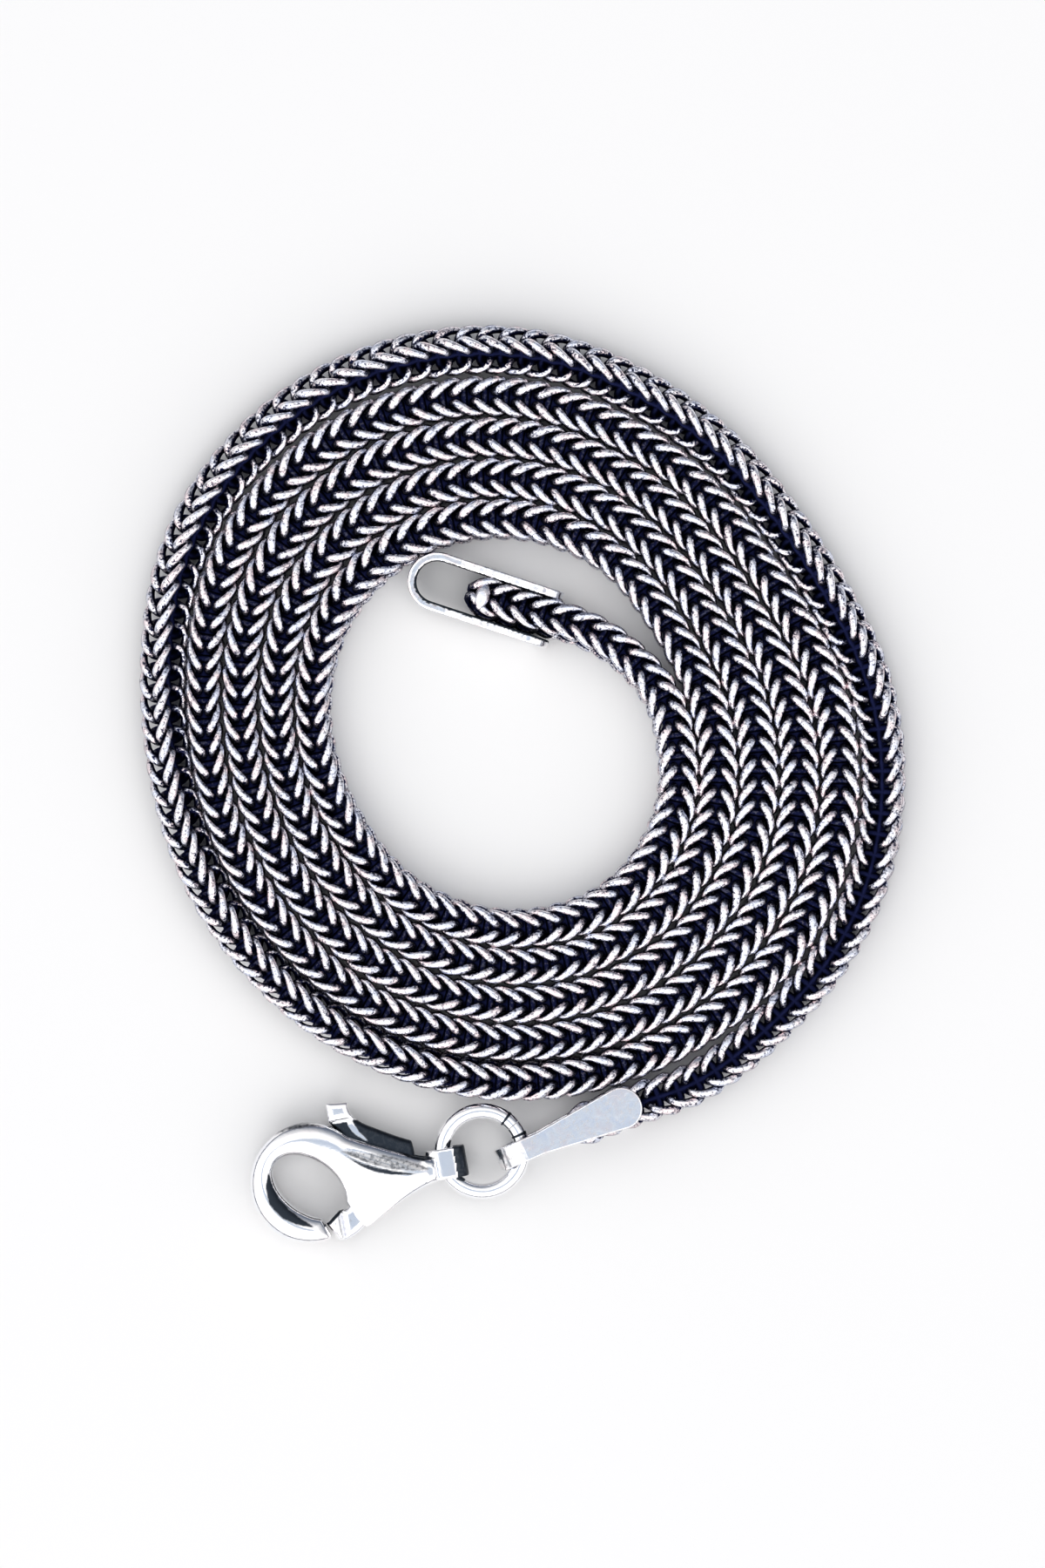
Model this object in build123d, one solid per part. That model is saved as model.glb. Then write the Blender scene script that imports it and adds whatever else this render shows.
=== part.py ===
from build123d import *
import math
import os

# A foxtail chain necklace of oxidised silver, unclasped and laid down in one flat spiral.
# Millimetres, +Z up, z = 0 is the surface it lies on. The route starts at the inner free end and
# runs clockwise, seen from above, out to the end that carries the jump ring and the lobster clasp.
# Everything is placed from the spiral's own centre, and the necklace is then set over the middle
# of its own box.

# Chain: the solid core of a strand. The links' shoulders stand a little proud of it.
STRAND_WIDTH = 2.1
STRAND_HEIGHT = 2.4
STRAND_EDGE_RADIUS = 0.45

# Spiral: radius of the first turn, and the mean room between the cores of two turns
HOLE_RADIUS = 11.37
TURN_ROOM = 0.40

# The last turn stands off its neighbour round the upper left
STANDOFF = 0.49
STANDOFF_AT_TURN = 4.75
STANDOFF_HALF_SPAN_TURNS = 0.5

# The spiral isn't round: one row for each direction, clockwise from +X in twelfths of a turn, with
# the first turn's radius as a share of HOLE_RADIUS, and the room as a share of TURN_ROOM
COIL_BY_DIRECTION = [
    (0.871, 1.375),
    (1.023, 1.400),
    (1.121, 0.925),
    (1.128, 0.850),
    (1.091, 0.725),
    (1.023, 0.750),
    (1.034, 0.475),
    (1.052, 1.225),
    (1.018, 1.425),
    (0.953, 1.325),
    (0.887, 0.650),
    (0.798, 0.600),
]
COIL_POINTS_PER_TURN = len(COIL_BY_DIRECTION)
COIL_STEPS = 61

# Free ends of the route, as runs chosen by hand: length, turn to the left in degrees, and how far
# the chain is lifted there, as a share of its lift inside the cap. The inner end leaves the
# spiral's first point backwards, the outer end leaves the last one.
INNER_END_RUNS = [(3.5, 27.5, 0), (4.06, 21.0, 0), (4.15, 22.6, 0), (3.9, -3.0, 0)]
OUTER_END_RUNS = [(13.15, -37.1, 0.72), (6.77, -29.1, 1), (4.05, 6.4, 1)]
ARC_SHARE_OF_RUN = 0.45

# End caps: a silver strip folded into a long U that holds the chain's last links
CAP_LENGTH = 9.6
CAP_WALL = 0.55
CAP_WIDTH = 2.6
CAP_NECK_WIDTH = 1.4
CAP_NECK_LENGTH = 2.9
CAP_CHAIN_CLEARANCE = 0.08
CHAIN_SET_BACK = 4.0
CAP_EDGE_RADIUS = 0.1

# Jump ring, of round wire, with a fine join
RING_OUTER_DIAMETER = 5.95
RING_WIRE = 0.97
RING_JOIN_WIDTH = 0.06
RING_JOIN_ANGLE = 40.0
RING_SEAT_IN_CAP = 1.66
RING_SWING = -21.5

# Lobster clasp: local X runs from the hook to the eye, local Y to the thumb tab, and the origin
# is inside the hook's hole
CLASP_THICKNESS = 2.9
CLASP_EDGE_RADIUS = 0.55
CLASP_TIP_RADIUS = 0.25
CLASP_TURN = 10.0
HOOK_WALL = 1.25
HOOK_CENTRE = Vector(0.1, 0.42)
HOOK_HOLE_CENTRE = Vector(0.03, 0.2)
HOOK_HOLE_LONG = 5.1
HOOK_HOLE_SHORT = 3.16
HOOK_HOLE_TILT = 135.0
CHEEK_RIM = [(1.1, 3.98), (2.93, 2.85), (4.33, 2.1), (5.75, 1.4), (7.83, 0.6)]
CHEEK_RIM_TANGENTS = [(1, -0.35), (1, -0.3)]
CHEEK_BELLY = [(7.83, -0.85), (6.33, -1.28), (4.7, -2.04), (3.05, -2.9)]
NOSE_EDGE = [(2.1, -1.0), (2.55, -2.2), (3.05, -2.9)]
HOOK_TIP = [(0.42, -1.8), (0.99, -3.4)]

# Slot between the clasp's two cheeks, for the trigger
SLOT_WIDTH = 1.4
SLOT_END = 7.5
SLOT_FRONT = [(1.0, -5.0), (1.0, 1.2), (1.7, 3.0), (1.7, 6.0)]
TRIGGER_SIDE_CLEARANCE = 0.1

# Eye of the clasp: a loop across its axis, whose hole leaves room round the jump ring's wire
EYE_START = 7.4
EYE_LOW = -0.8
EYE_WIDTH = 1.9
EYE_NECK_WALL = 0.48
EYE_END_WALL = 0.46
EYE_SIDE_WALL = 0.5
EYE_CORNER = 0.85
EYE_HOLE_ROOM_LONG = 0.55
EYE_HOLE_ROOM_HIGH = 0.55
EYE_HOLE_CORNER_SHARE = 0.38
RING_CLEARANCE = 0.05
RING_OFFSET_IN_EYE = 0.5

# Trigger: its outline in stretches, clockwise from the thumb tab, and its hidden pin
PIVOT = (5.9, 0.1)
PIN_RADIUS = 0.36
PIN_END_SET_BACK = 0.1
PIN_RUNNING_CLEARANCE = 0.04
PIN_SEAT_CLEARANCE = 0.01
HUB_RADIUS = 0.8
THUMB_TAB_FLOOR = 3.95
THUMB_TAB_END = 3.5
THUMB_TAB_THICKNESS = 2.1
THUMB_EDGE = [(1.87, THUMB_TAB_FLOOR), (1.87, 5.1), (3.2, 4.95)]
SPINE_EDGE = [(3.2, 4.95), (3.6, 3.75), (4.7, 3.0), (5.75, 2.38), (6.7, 1.9)]
TAIL_CORNER = (6.75, 1.3)
ARM_EDGE = [(4.0, -1.9), (3.05, -2.72), (2.1, -3.3), (1.26, -3.38)]
GATE_EDGE = [(0.61, -2.15), (1.42, -1.62), (2.14, -1.5), (2.35, -1.0), (2.3, 3.1)]
GATE_HEAD_THICKNESS = 2.1
GATE_HEAD_END = 1.65
GATE_HEAD_TOP = 0.0


def direction(degrees):
    return Vector(math.cos(math.radians(degrees)), math.sin(math.radians(degrees)), 0)


def heading(start, end):
    return math.degrees(math.atan2(end.Y - start.Y, end.X - start.X))


def coil_point(step):
    """A control point of the spiral, in the plane of the strand's middle."""
    first, room = COIL_BY_DIRECTION[step % COIL_POINTS_PER_TURN]
    turns = step / COIL_POINTS_PER_TURN
    off_peak = abs(turns - STANDOFF_AT_TURN) / STANDOFF_HALF_SPAN_TURNS
    standoff = STANDOFF * math.cos(math.pi / 2 * min(off_peak, 1)) ** 2
    radius = HOLE_RADIUS * first + (STRAND_WIDTH + TURN_ROOM * room) * turns + standoff
    return direction(-360 * turns) * radius + Vector(0, 0, STRAND_HEIGHT / 2)


def runs_from(start, degrees, runs):
    """Points that follow start, each run turned from the one before it."""
    points = []
    for length, turn, lift_share in runs:
        degrees += turn
        start = start + direction(degrees) * length
        points.append(start + Vector(0, 0, cap_lift * lift_share))
    return points, degrees


# The outer cap's lower leg lies under the chain and lifts it
cap_gap = STRAND_HEIGHT + 2 * CAP_CHAIN_CLEARANCE
cap_height = cap_gap + 2 * CAP_WALL
cap_lift = (cap_height - STRAND_HEIGHT) / 2

coil = [coil_point(step) for step in range(COIL_STEPS + 1)]
inner_points, inner_heading = runs_from(coil[0], heading(coil[1], coil[0]), INNER_END_RUNS)
outer_points, outer_heading = runs_from(coil[-1], heading(coil[-2], coil[-1]), OUTER_END_RUNS)
route = inner_points[::-1] + coil + outer_points


def corner_radius(before, corner, after):
    """Radius of the arc at a corner, as large as its two runs allow."""
    first_run = corner - before
    second_run = after - corner
    half_turn = math.radians(first_run.get_angle(second_run)) / 2
    return ARC_SHARE_OF_RUN * min(first_run.length, second_run.length) / math.tan(half_turn)


def make_chain():
    """The strand's core, swept along straight runs joined by tangent arcs."""
    radii = [corner_radius(*route[i : i + 3]) for i in range(len(route) - 2)]
    path = FilletPolyline(*route, radius=radii)
    start = Plane(origin=path @ 0, x_dir=(path % 0).cross(Vector(0, 0, 1)), z_dir=path % 0)
    section = start * RectangleRounded(STRAND_WIDTH, STRAND_HEIGHT, STRAND_EDGE_RADIUS)
    chain = sweep(section, path=path)
    print("chain arcs, mm:", [round(radius, 1) for radius in radii])
    print("chain length, mm:", round(path.length, 1))
    print("volume / (section x length):", round(chain.volume / (section.area * path.length), 5))
    return chain


def make_end_cap():
    """A folded strip. Local X runs from the fold to the chain, local Z is the strip's width."""
    outer_radius = cap_height / 2
    leg_length = CAP_LENGTH - outer_radius
    legs_centre = Pos(outer_radius + leg_length / 2, 0)
    outside = Pos(outer_radius, 0) * Circle(outer_radius) + legs_centre * Rectangle(leg_length, cap_height)
    inside = Pos(outer_radius, 0) * Circle(cap_gap / 2) + legs_centre * Rectangle(leg_length, cap_gap)
    strip = extrude(outside - inside, amount=CAP_WIDTH / 2, both=True)
    end_radius = CAP_WIDTH / 2
    end_centre = CAP_LENGTH - end_radius
    half_neck = CAP_NECK_WIDTH / 2
    paddle = Polyline(
        (0, -half_neck),
        (CAP_NECK_LENGTH, -half_neck),
        (end_centre, -end_radius),
        (end_centre, end_radius),
        (CAP_NECK_LENGTH, half_neck),
        (0, half_neck),
        close=True,
    )
    outline = make_face(paddle) + Pos(end_centre, 0) * Circle(end_radius)
    cutter = extrude(Plane.XZ * outline, amount=cap_height, both=True)
    cap = strip & cutter
    return fillet(cap.edges(), CAP_EDGE_RADIUS)


def make_jump_ring():
    """Round wire bent into a ring, with the fine join of its two ends."""
    ring = Torus(ring_radius, RING_WIRE / 2)
    join = Pos(ring_radius, 0, 0) * Box(2 * RING_WIRE, RING_JOIN_WIDTH, 2 * RING_WIRE)
    return ring - Rot(0, 0, RING_JOIN_ANGLE) * join


def make_clasp_body():
    """Hook, two cheeks and eye, cast in one piece, with the slot that the trigger moves in."""
    hole_far_end = HOOK_HOLE_CENTRE + direction(HOOK_HOLE_TILT) * (HOOK_HOLE_LONG / 2)
    hook_radius = (hole_far_end - HOOK_CENTRE).length + HOOK_WALL
    hook = Pos(*HOOK_CENTRE) * Circle(hook_radius)
    rim = Spline(*CHEEK_RIM, tangents=CHEEK_RIM_TANGENTS)
    neck = Line(CHEEK_RIM[-1], CHEEK_BELLY[0])
    belly = Spline(*CHEEK_BELLY)
    back = Polyline(CHEEK_BELLY[-1], HOOK_HOLE_CENTRE, CHEEK_RIM[0])
    cheeks = make_face(Curve() + [rim, neck, belly, back])
    hole_place = Pos(*HOOK_HOLE_CENTRE) * Rot(0, 0, HOOK_HOLE_TILT)
    hole = hole_place * Ellipse(HOOK_HOLE_LONG / 2, HOOK_HOLE_SHORT / 2)
    mouth = make_face(
        Polyline(
            HOOK_HOLE_CENTRE,
            *HOOK_TIP,
            (HOOK_TIP[-1][0], -past_clasp),
            (NOSE_EDGE[-1][0], -past_clasp),
            *NOSE_EDGE[::-1],
            close=True,
        )
    )
    plan = hook + cheeks - hole - mouth
    tips = [corner for corner in plan.vertices() if corner.Y < NOSE_EDGE[0][1] and corner.X < SLOT_END]
    plan = fillet(tips, CLASP_TIP_RADIUS)
    body = extrude(plan, amount=CLASP_THICKNESS / 2, both=True)
    levels = body.edges().group_by(Axis.Z)
    rims = [edge for edge in levels[0] + levels[-1] if edge.center().X < SLOT_END]
    body = fillet(rims, CLASP_EDGE_RADIUS)
    slot_plan = make_face(
        Polyline(*SLOT_FRONT, (SLOT_END, SLOT_FRONT[-1][1]), (SLOT_END, SLOT_FRONT[0][1]), close=True)
    )
    body = body - extrude(slot_plan, amount=SLOT_WIDTH / 2, both=True)
    eye_length = EYE_NECK_WALL + eye_hole_length + EYE_END_WALL
    eye_centre = EYE_START + eye_length / 2
    hole_centre = EYE_START + EYE_NECK_WALL + eye_hole_length / 2
    hole_corner = EYE_HOLE_CORNER_SHARE * min(eye_hole_length, eye_hole_height)
    loop = Pos(eye_centre, 0) * RectangleRounded(eye_length, eye_height, EYE_CORNER)
    loop_hole = Pos(hole_centre, 0) * RectangleRounded(eye_hole_length, eye_hole_height, hole_corner)
    eye = Pos(0, EYE_LOW, 0) * extrude(Plane.XZ * loop, amount=-EYE_WIDTH)
    hole_cut = extrude(Plane.XZ * loop_hole, amount=past_clasp, both=True)
    pin_hole = Pos(*PIVOT) * Cylinder(PIN_RADIUS + PIN_SEAT_CLEARANCE, past_clasp)
    return body + eye - hole_cut - pin_hole


def make_trigger():
    """Lever with the gate at one end and the thumb tab at the other, turning on the pin."""
    hub_right = Vector(*PIVOT) + direction(0) * HUB_RADIUS
    hub_corner = Vector(*PIVOT) + direction(-45) * HUB_RADIUS
    hub_bottom = Vector(*PIVOT) + direction(-90) * HUB_RADIUS
    thumb = Polyline(*THUMB_EDGE)
    spine = Spline(*SPINE_EDGE)
    tail = Polyline(SPINE_EDGE[-1], TAIL_CORNER, hub_right)
    hub = ThreePointArc(hub_right, hub_corner, hub_bottom)
    arm = Spline(hub_bottom, *ARM_EDGE)
    gate = Polyline(ARM_EDGE[-1], *GATE_EDGE, THUMB_EDGE[0])
    plan = make_face(Curve() + [thumb, spine, tail, hub, arm, gate])
    lever_thickness = SLOT_WIDTH - 2 * TRIGGER_SIDE_CLEARANCE
    lever = extrude(plan, amount=lever_thickness / 2, both=True)
    before_head_end = Rectangle(past_clasp, past_clasp, align=(Align.MAX, Align.MAX))
    head_plan = plan & Pos(GATE_HEAD_END, GATE_HEAD_TOP) * before_head_end
    head = extrude(head_plan, amount=GATE_HEAD_THICKNESS / 2, both=True)
    above_tab_floor = Rectangle(past_clasp, past_clasp, align=(Align.MAX, Align.MIN))
    tab_plan = plan & Pos(THUMB_TAB_END, THUMB_TAB_FLOOR) * above_tab_floor
    tab = extrude(tab_plan, amount=THUMB_TAB_THICKNESS / 2, both=True)
    bore = Pos(*PIVOT) * Cylinder(PIN_RADIUS + PIN_RUNNING_CLEARANCE, past_clasp)
    return lever + head + tab - bore


def make_pivot_pin():
    """Plain pin through the cheeks and the trigger, its ends just inside the cheeks."""
    return Pos(*PIVOT) * Cylinder(PIN_RADIUS, CLASP_THICKNESS - 2 * PIN_END_SET_BACK)


# Places, from the ends of the route outwards
inner_fold = inner_points[-1] + direction(inner_heading) * CHAIN_SET_BACK
inner_cap_place = Plane(
    origin=(inner_fold.X, inner_fold.Y, CAP_WIDTH / 2),
    x_dir=direction(inner_heading + 180),
    z_dir=(0, 0, 1),
)
outer_fold = outer_points[-1] + direction(outer_heading) * CHAIN_SET_BACK
outer_cap_place = Plane(
    origin=(outer_fold.X, outer_fold.Y, cap_height / 2),
    x_dir=direction(outer_heading + 180),
    z_dir=direction(outer_heading + 90),
)
ring_radius = (RING_OUTER_DIAMETER - RING_WIRE) / 2
ring_seat = outer_fold - direction(outer_heading) * RING_SEAT_IN_CAP
ring_middle = ring_seat + direction(outer_heading + RING_SWING) * ring_radius

# Longer than the clasp, for cuts that run past it
past_clasp = 3 * EYE_START

# The jump ring hangs by the top of the eye's hole and bears on the wall beside the clasp's neck
eye_hole_length = RING_WIRE + EYE_HOLE_ROOM_LONG
eye_hole_height = RING_WIRE + EYE_HOLE_ROOM_HIGH
eye_height = eye_hole_height + 2 * EYE_SIDE_WALL
clasp_middle = Vector(ring_middle.X, ring_middle.Y, max(CLASP_THICKNESS, eye_height) / 2)
ring_centre = clasp_middle + Vector(0, 0, EYE_HOLE_ROOM_HIGH / 2 - RING_CLEARANCE)
eye_to_ring = EYE_START + EYE_NECK_WALL + RING_CLEARANCE + RING_OUTER_DIAMETER / 2
clasp_place = Pos(*clasp_middle) * Rot(0, 0, CLASP_TURN) * Pos(-eye_to_ring, -RING_OFFSET_IN_EYE, 0)

pieces = {
    "chain": make_chain(),
    "inner_end_cap": inner_cap_place * make_end_cap(),
    "outer_end_cap": outer_cap_place * make_end_cap(),
    "jump_ring": Pos(*ring_centre) * make_jump_ring(),
    "clasp_body": clasp_place * make_clasp_body(),
    "clasp_trigger": clasp_place * make_trigger(),
    "pivot_pin": clasp_place * make_pivot_pin(),
}

# Origin on the surface, under the middle of the necklace's own box
boxes = [piece.bounding_box() for piece in pieces.values()]
low = Vector(min(box.min.X for box in boxes), min(box.min.Y for box in boxes), 0)
high = Vector(max(box.max.X for box in boxes), max(box.max.Y for box in boxes), 0)
to_origin = Pos(*((low + high) * -0.5))
pivot = to_origin * clasp_place * Pos(*PIVOT)
print("spiral centre:", to_origin.position)
print("pivot:", pivot.position)
print("ring centre:", (to_origin * Pos(*ring_centre)).position)

os.makedirs("parts", exist_ok=True)
for name, piece in pieces.items():
    export_step(to_origin * piece, f"parts/{name}.step")
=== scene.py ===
import math

import bmesh
import bpy
import numpy as np
from mathutils import Matrix, Vector
from mathutils.kdtree import KDTree


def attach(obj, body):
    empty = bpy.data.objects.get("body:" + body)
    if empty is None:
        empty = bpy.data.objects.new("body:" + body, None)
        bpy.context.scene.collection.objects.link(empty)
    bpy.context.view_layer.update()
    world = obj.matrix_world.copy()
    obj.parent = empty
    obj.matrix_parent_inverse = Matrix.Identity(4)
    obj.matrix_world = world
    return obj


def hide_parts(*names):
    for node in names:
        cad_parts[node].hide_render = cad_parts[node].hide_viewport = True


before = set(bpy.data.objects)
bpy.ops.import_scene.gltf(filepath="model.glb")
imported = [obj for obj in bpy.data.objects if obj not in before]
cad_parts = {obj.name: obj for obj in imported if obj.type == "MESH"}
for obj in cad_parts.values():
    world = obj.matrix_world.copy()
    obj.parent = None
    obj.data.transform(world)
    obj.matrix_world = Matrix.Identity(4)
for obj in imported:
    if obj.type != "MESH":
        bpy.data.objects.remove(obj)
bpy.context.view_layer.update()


# Table top. A sheet of smooth pale card, matt so that it mirrors nothing. The necklace lies on it
# loose, and the card is a hair lower than the links, so that none of them cuts into it.
CARD_SIZE = 1.2
CARD_DROP = 0.00004
CARD_COLOR = (0.83, 0.835, 0.84, 1)
CARD_ROUGHNESS = 0.75
CARD_GLOSS = 0.2

bpy.ops.mesh.primitive_plane_add(size=CARD_SIZE, location=(0, 0, -CARD_DROP))
card = bpy.context.object
card.name = "card_floor"
card_material = bpy.data.materials.new("pale_card")
card_material.use_nodes = True
card_shader = card_material.node_tree.nodes["Principled BSDF"]
card_shader.inputs["Base Color"].default_value = CARD_COLOR
card_shader.inputs["Roughness"].default_value = CARD_ROUGHNESS
card_shader.inputs["Specular IOR Level"].default_value = CARD_GLOSS
card.data.materials.append(card_material)


# Camera and lights. The camera looks straight down at the spiral. A studio dome lights it, bright
# at the near left, dimmer straight overhead and on the far side, and dark at its foot. One soft
# box at the near left adds its streaks to the silver.
FRAME_HEIGHT = 0.0973
CAMERA_HEIGHT = 0.50
CAMERA_AIM = (-0.000065, 0.000127)
CAMERA_NEAREST = 0.01
SENSOR_MILLIMETRES = 36.0
PICTURE_EXPOSURE = -0.34
KEY_PLACE = (-0.14, -0.34, 0.34)
KEY_SIZE = 0.26
KEY_POWER = 0.3
KEY_COLOR = (1.0, 0.985, 0.975)
# The dome's spans are shares of straight up, or of straight towards its bright side
DOME_BRIGHT_SIDE = (-0.33, -0.85, 0.40)
DOME_SIDE_SPAN = (-0.85, 0.20)
DOME_DIM = (0.17, 0.20, 0.26, 1)
DOME_BRIGHT = (1.42, 1.40, 1.39, 1)
DOME_TOP = (0.62, 0.69, 0.80, 1)
DOME_TOP_SPAN = (0.962, 0.997)
DOME_FOOT_COLOR = (0.16, 0.18, 0.23, 1)
DOME_FOOT_SPAN = (0.06, 0.30)

camera_data = bpy.data.cameras.new("camera")
camera_data.lens = SENSOR_MILLIMETRES * CAMERA_HEIGHT / FRAME_HEIGHT
camera_data.sensor_width = SENSOR_MILLIMETRES
camera_data.clip_start = CAMERA_NEAREST
camera = bpy.data.objects.new("camera", camera_data)
camera.location = (*CAMERA_AIM, CAMERA_HEIGHT)
bpy.context.scene.collection.objects.link(camera)
bpy.context.scene.camera = camera

key_data = bpy.data.lights.new("key_box", "AREA")
key_data.shape = "SQUARE"
key_data.size = KEY_SIZE
key_data.energy = KEY_POWER
key_data.color = KEY_COLOR
key = bpy.data.objects.new("key_box", key_data)
key.location = KEY_PLACE
key.rotation_euler = (-Vector(KEY_PLACE)).to_track_quat("-Z", "Y").to_euler()
bpy.context.scene.collection.objects.link(key)


def soft_step(tree, span):
    """A node that rises softly from 0 to 1 while its value crosses the span."""
    step = tree.nodes.new("ShaderNodeMapRange")
    step.interpolation_type = "SMOOTHSTEP"
    step.inputs["From Min"].default_value, step.inputs["From Max"].default_value = span
    return step


def color_mix(tree, **inputs):
    """A node that mixes its colours A and B, with some of its inputs already set."""
    mix = tree.nodes.new("ShaderNodeMix")
    mix.data_type = "RGBA"
    for name, value in inputs.items():
        mix.inputs[name].default_value = value
    return mix


world = bpy.data.worlds.new("studio")
world.use_nodes = True
sky = world.node_tree
sky_direction = sky.nodes.new("ShaderNodeTexCoord")
towards_bright = sky.nodes.new("ShaderNodeVectorMath")
towards_bright.operation = "DOT_PRODUCT"
towards_bright.inputs[1].default_value = Vector(DOME_BRIGHT_SIDE).normalized()
side_share = soft_step(sky, DOME_SIDE_SPAN)
dome_color = color_mix(sky, A=DOME_DIM, B=DOME_BRIGHT)
split_direction = sky.nodes.new("ShaderNodeSeparateXYZ")
top_share = soft_step(sky, DOME_TOP_SPAN)
with_top = color_mix(sky, B=DOME_TOP)
foot_share = soft_step(sky, DOME_FOOT_SPAN)
with_foot = color_mix(sky, A=DOME_FOOT_COLOR)
sky.links.new(sky_direction.outputs["Generated"], towards_bright.inputs[0])
sky.links.new(towards_bright.outputs["Value"], side_share.inputs["Value"])
sky.links.new(side_share.outputs["Result"], dome_color.inputs["Factor"])
sky.links.new(sky_direction.outputs["Generated"], split_direction.inputs["Vector"])
sky.links.new(split_direction.outputs["Z"], top_share.inputs["Value"])
sky.links.new(top_share.outputs["Result"], with_top.inputs["Factor"])
sky.links.new(dome_color.outputs["Result"], with_top.inputs["A"])
sky.links.new(split_direction.outputs["Z"], foot_share.inputs["Value"])
sky.links.new(foot_share.outputs["Result"], with_foot.inputs["Factor"])
sky.links.new(with_top.outputs["Result"], with_foot.inputs["B"])
sky.links.new(with_foot.outputs["Result"], sky.nodes["Background"].inputs["Color"])
bpy.context.scene.world = world
bpy.context.scene.view_settings.view_transform = "Standard"
bpy.context.scene.view_settings.look = "Medium High Contrast"
bpy.context.scene.view_settings.exposure = PICTURE_EXPOSURE


# Chain. Foxtail chain of oxidised silver wire: each link is a closed ring folded into a pair of
# ears, pushed through both ears of the link before it. The strand was dipped black, then rubbed
# bright on what stands out. It lies in one spiral, from its inner free end clockwise to its outer.
MM = 0.001
WIRE = 0.55 * MM
LINK_PITCH = 2.38 * WIRE
STRAND_WIDTH = 2.1 * MM
STRAND_MIDDLE = 1.2 * MM
SPIRAL_CENTRE = Vector((-0.497435, 4.12716, 0)) * MM
HOLE_RADIUS = 11.37 * MM
TURN_ROOM = 0.40 * MM
# One turn stands off the turn inside it: how far, after how many turns, and how many turns it takes
# to close up again on either side
STANDOFF = 0.39 * MM
STANDOFF_AT_TURN = 4.75
STANDOFF_HALF_SPAN_TURNS = 0.5
# One row for each direction, clockwise from +X in twelfths of a turn: the first turn's radius as a
# share of HOLE_RADIUS, and the room as a share of TURN_ROOM
COIL_BY_DIRECTION = [
    (0.871, 1.375),
    (1.023, 1.400),
    (1.121, 0.925),
    (1.128, 0.850),
    (1.091, 0.725),
    (1.023, 0.750),
    (1.034, 0.475),
    (1.052, 1.225),
    (1.018, 1.425),
    (0.953, 1.325),
    (0.887, 0.650),
    (0.798, 0.600),
]
COIL_STEPS = 61
# Free ends, as runs: length in millimetres, turn to the left in degrees, and lift
CAP_LIFT = 0.63 * MM
INNER_END_RUNS = [(3.5, 27.5, 0), (4.06, 21.0, 0), (4.15, 22.6, 0), (3.9, -3.0, 0)]
OUTER_END_RUNS = [(13.15, -37.1, 0.72), (6.77, -29.1, 1), (4.05, 6.4, 1)]
# The smooth line of the strand's middle has this many points for each control point of its route
LINE_POINTS = 24

# A quarter of a link's wire, from the middle of its waist to the top of an ear, in wire widths:
# out towards the ear's face, across the strand, along it, and how thick the wire is there
LINK_QUARTER = [
    (0.00, 0.555, 0.00, 1.00),
    (0.75, 0.555, 0.00, 1.00),
    (1.45, 0.60, 0.28, 1.04),
    (1.76, 0.99, 0.82, 1.08),
    (1.74, 1.42, 1.42, 1.00),
    (1.57, 1.75, 2.10, 0.88),
    (1.27, 1.90, 2.80, 0.78),
    (0.86, 1.72, 3.36, 0.80),
    (0.54, 0.93, 3.60, 0.95),
    (0.53, 0.00, 3.61, 1.00),
]
WIRE_SIDES = 8
RINGS_PER_POINT = 2
# The strand rolls on its own axis: degrees clockwise from +X, and degrees that its ears' face
# leans from straight up towards the outside of the spiral
ROLL_AT = [
    (-90, 12), (0, 2), (60, 6), (225, 6), (300, 1), (1500, 0), (1580, 24), (1620, 43),
    (1665, 55), (1770, 58), (1800, 76), (1830, 88), (1920, 90),
]
# Neighbouring turns press the strand a little wider or narrower, to this room between them. The
# smooth line lies inside its control points, so the turns are this share of their spacing apart
PRESSED_ROOM = 0.03 * MM
SMOOTHED_SHARE = 0.966
# Where the strand lies on its side, its links are spread this much further from ear to ear
SIDE_SPREAD = 0.06
CHAIN_PIECES = 5
# The polishing cloth begins to reach wire, and reaches all of it, this far out and across from the
# strand's axis, in wire widths
RUB_FROM = (0.42, 0.84)
RUB_FULL = (1.06, 1.38)
# Inside the strand the links' hidden wires lie packed, and one ribbed core stands for them, all in
# the bath's dark colour as painted shade in the strand's depths: half its height and width, how
# deep its ribs are, and how far it starts past the first link's waist and ends past the last one's
CORE_HALF_SIZES = (0.62 * WIRE, 1.35 * WIRE)
CORE_RIB = 0.22
CORE_START = 0.4 * WIRE
CORE_END = 2.4 * WIRE
CORE_RINGS_PER_LINK = 6
CORE_SIDES = 10
# The bath turns silver nearly black with a breath of blue, and the cloth brings back its white.
# Both look greyer where they are seen at a slant
BATH_COLOR = (0.017, 0.021, 0.066, 1)
RUBBED_COLOR = (0.96, 0.95, 0.985, 1)
GLANCING_COLOR = (0.45, 0.45, 0.5, 1)
BATH_ROUGHNESS = 0.5
RUBBED_ROUGHNESS = 0.24
CHAIN_WEAR = {"Pit Size": 0.17 * MM, "Pit Share": 0.6, "Tint": 0.35, "Tint Size": 0.7 * MM}
CHAIN_PIT_DEPTH = 0.03 * MM


def direction(degrees):
    """The flat direction at so many degrees anticlockwise from +X."""
    return Vector((math.cos(math.radians(degrees)), math.sin(math.radians(degrees)), 0))


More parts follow.
